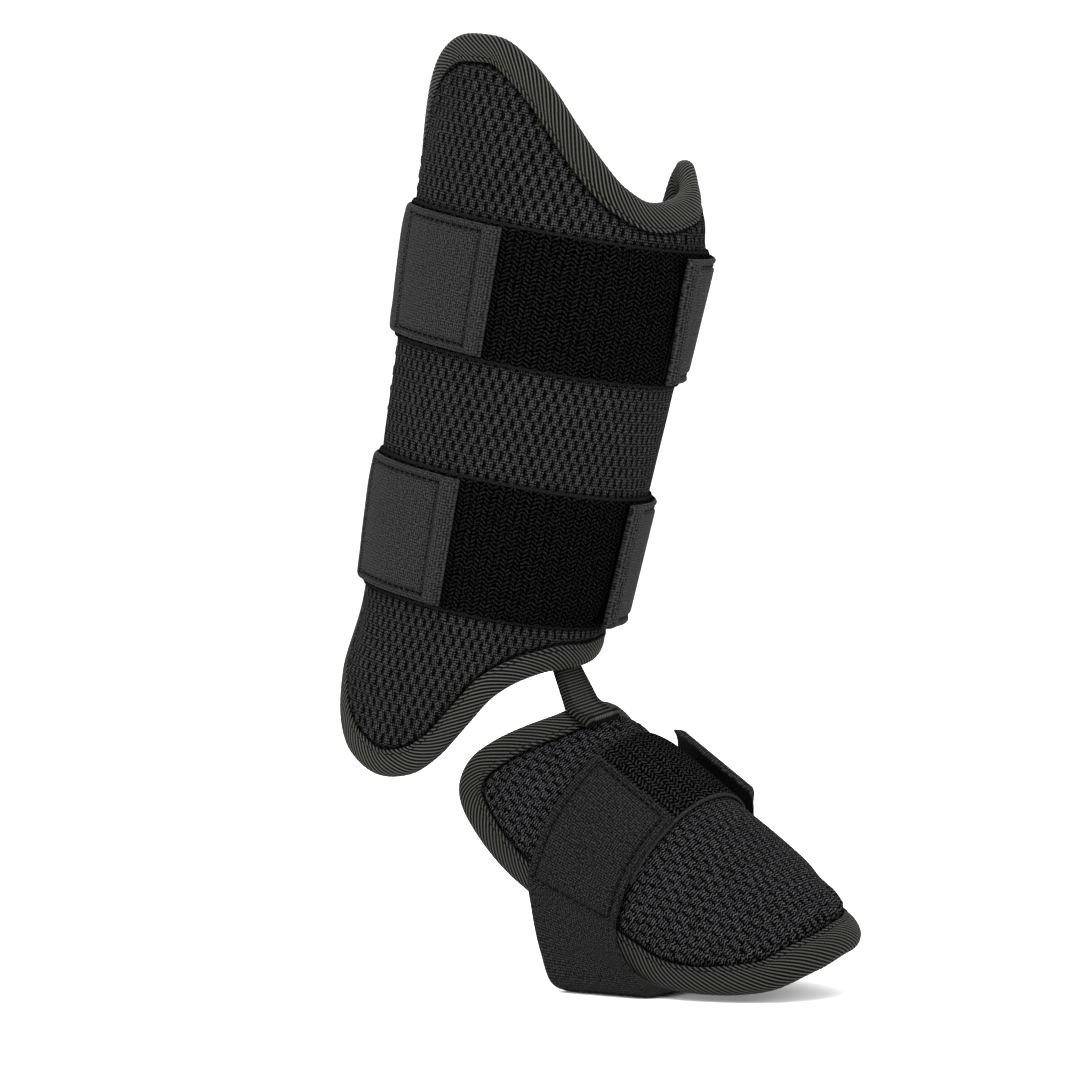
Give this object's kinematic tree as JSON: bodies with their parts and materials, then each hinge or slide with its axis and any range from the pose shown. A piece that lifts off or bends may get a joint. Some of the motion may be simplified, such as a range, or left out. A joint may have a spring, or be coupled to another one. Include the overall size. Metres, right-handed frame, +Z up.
{
  "type": "batter foot guard",
  "caption": "Padded shin guard with a smaller foot guard linked below it by webbing, bound edges, and elastic straps with hook ends that close on fastening panels",
  "frame": {"origin": "on the middle line of the lower leg, midway between the two leg straps, where the leg holds the guard up", "axes": "+Z up towards the knee with the wearer standing, -Y ahead towards the toes, +X towards the little toe of the left foot"},
  "size_m": [0.1254, 0.2108, 0.3651],
  "materials": {
    "spacer_mesh": "matt knitted spacer mesh, charcoal yarn with dark slots",
    "fine_mesh": "matt knitted mesh with finer cells, charcoal",
    "twill_tape": "twill binding tape with diagonal ribs, dark olive grey",
    "loop_tape": "woven fastening tape with a zigzag weave, near black",
    "hook_tape": "hook fastener tape, near black",
    "elastic": "heather elastic webbing with a fine grain, charcoal",
    "webbing": "ribbed narrow webbing, dark grey"
  },
  "bodies": {
    "root": {"shin_pad": "spacer_mesh", "shin_binding": "twill_tape", "upper_fastening_panel": "loop_tape", "upper_inner_hook_patch": "hook_tape", "upper_outer_hook_patch": "hook_tape", "upper_strap": "elastic", "lower_fastening_panel": "loop_tape", "lower_inner_hook_patch": "hook_tape", "lower_outer_hook_patch": "hook_tape", "lower_strap": "elastic", "foot_pad": "fine_mesh", "foot_binding": "twill_tape", "foot_fastening_panel": "loop_tape", "foot_inner_hook_patch": "hook_tape", "foot_outer_hook_patch": "hook_tape", "foot_strap": "elastic", "link_web": "webbing"}
  },
  "joints": []
}
